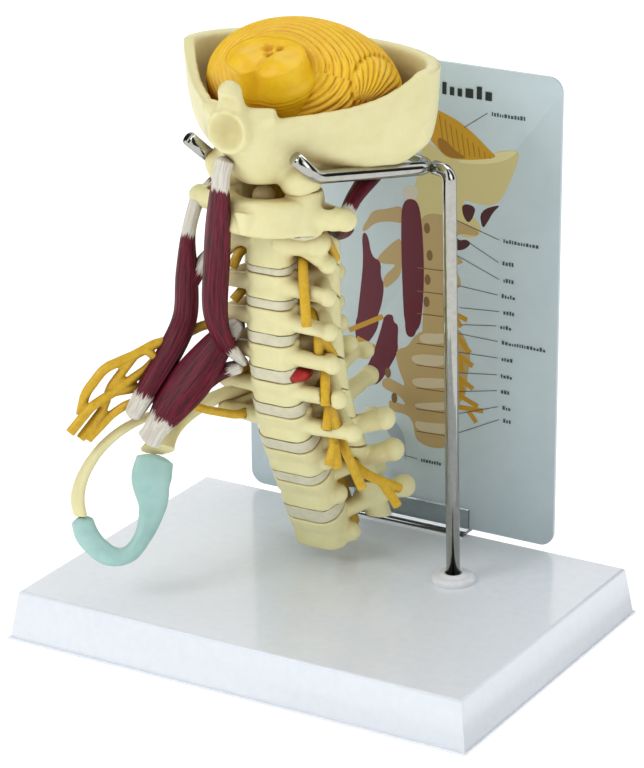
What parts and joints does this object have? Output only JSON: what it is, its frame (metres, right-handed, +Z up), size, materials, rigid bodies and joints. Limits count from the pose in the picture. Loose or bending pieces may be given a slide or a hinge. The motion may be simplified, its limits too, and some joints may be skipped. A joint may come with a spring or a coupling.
{
  "type": "spine anatomy model",
  "caption": "Neck spine anatomy model with skull base, brain, nerves, muscles and ribs on a rod stand and base with a picture card.",
  "frame": {"origin": "centre of the base's underside, on the surface it stands on", "axes": "+Z up, X along the long side of the base, the model faces -Y"},
  "size_m": [0.237, 0.1707, 0.2843],
  "materials": {
    "base_plastic": "glossy white moulding",
    "collar_plastic": "glossy white ring",
    "plated_steel": "zinc plated",
    "chrome_rod": "polished",
    "card_sheet": "satin printed sheet",
    "clear_acrylic": "clear polished plastic",
    "brain_yellow": "painted, half glossy",
    "cord_ochre": "painted",
    "nerve_yellow": "painted, half glossy",
    "muscle_red": "painted with fibres and pale tendons",
    "burst_red": "painted bright red",
    "disc_gel": "slightly clear soft plastic",
    "cartilage_blue": "painted pale blue green",
    "bone_cream": "cream moulding, satin"
  },
  "bodies": {
    "root": {"base_tray": "base_plastic", "brachial_plexus": "nerve_yellow", "brain_stem": "brain_yellow", "card_holder": "clear_acrylic", "cerebellum": "brain_yellow", "costal_cartilage": "cartilage_blue", "cradle_fork": "chrome_rod", "disc_c2_c3": "disc_gel", "disc_c3_c4": "disc_gel", "disc_c4_c5": "disc_gel", "disc_c5_c6": "disc_gel", "disc_c6_c7": "disc_gel", "disc_c7_t1": "disc_gel", "disc_herniation": "burst_red", "disc_t1_t2": "disc_gel", "disc_t2_t3": "disc_gel", "joint_pad_left": "disc_gel", "joint_pad_right": "disc_gel", "key_card": "card_sheet", "muscle_lower_left": "muscle_red", "muscle_lower_right": "muscle_red", "muscle_scalene_front": "muscle_red", "muscle_scalene_middle": "muscle_red", "muscle_strap": "muscle_red", "muscle_upper_left": "muscle_red", "muscle_upper_right": "muscle_red", "nerve_left_c2": "nerve_yellow", "nerve_left_c3": "nerve_yellow", "nerve_left_c4": "nerve_yellow", "nerve_left_c5": "nerve_yellow", "nerve_left_c6": "nerve_yellow", "nerve_left_c7": "nerve_yellow", "nerve_left_t1": "nerve_yellow", "nerve_left_t2": "nerve_yellow", "nerve_right_c3": "nerve_yellow", "nerve_right_c4": "nerve_yellow", "post_collar": "collar_plastic", "post_nut": "plated_steel", "post_washer": "plated_steel", "rib_first": "bone_cream", "rib_second": "bone_cream", "skull_base": "bone_cream", "spinal_cord": "cord_ochre", "stand_post": "chrome_rod", "vertebra_c1": "bone_cream", "vertebra_c2": "bone_cream", "vertebra_c3": "bone_cream", "vertebra_c4": "bone_cream", "vertebra_c5": "bone_cream", "vertebra_c6": "bone_cream", "vertebra_c7": "bone_cream", "vertebra_t1": "bone_cream", "vertebra_t2": "bone_cream", "vertebra_t3": "bone_cream"}
  },
  "joints": []
}
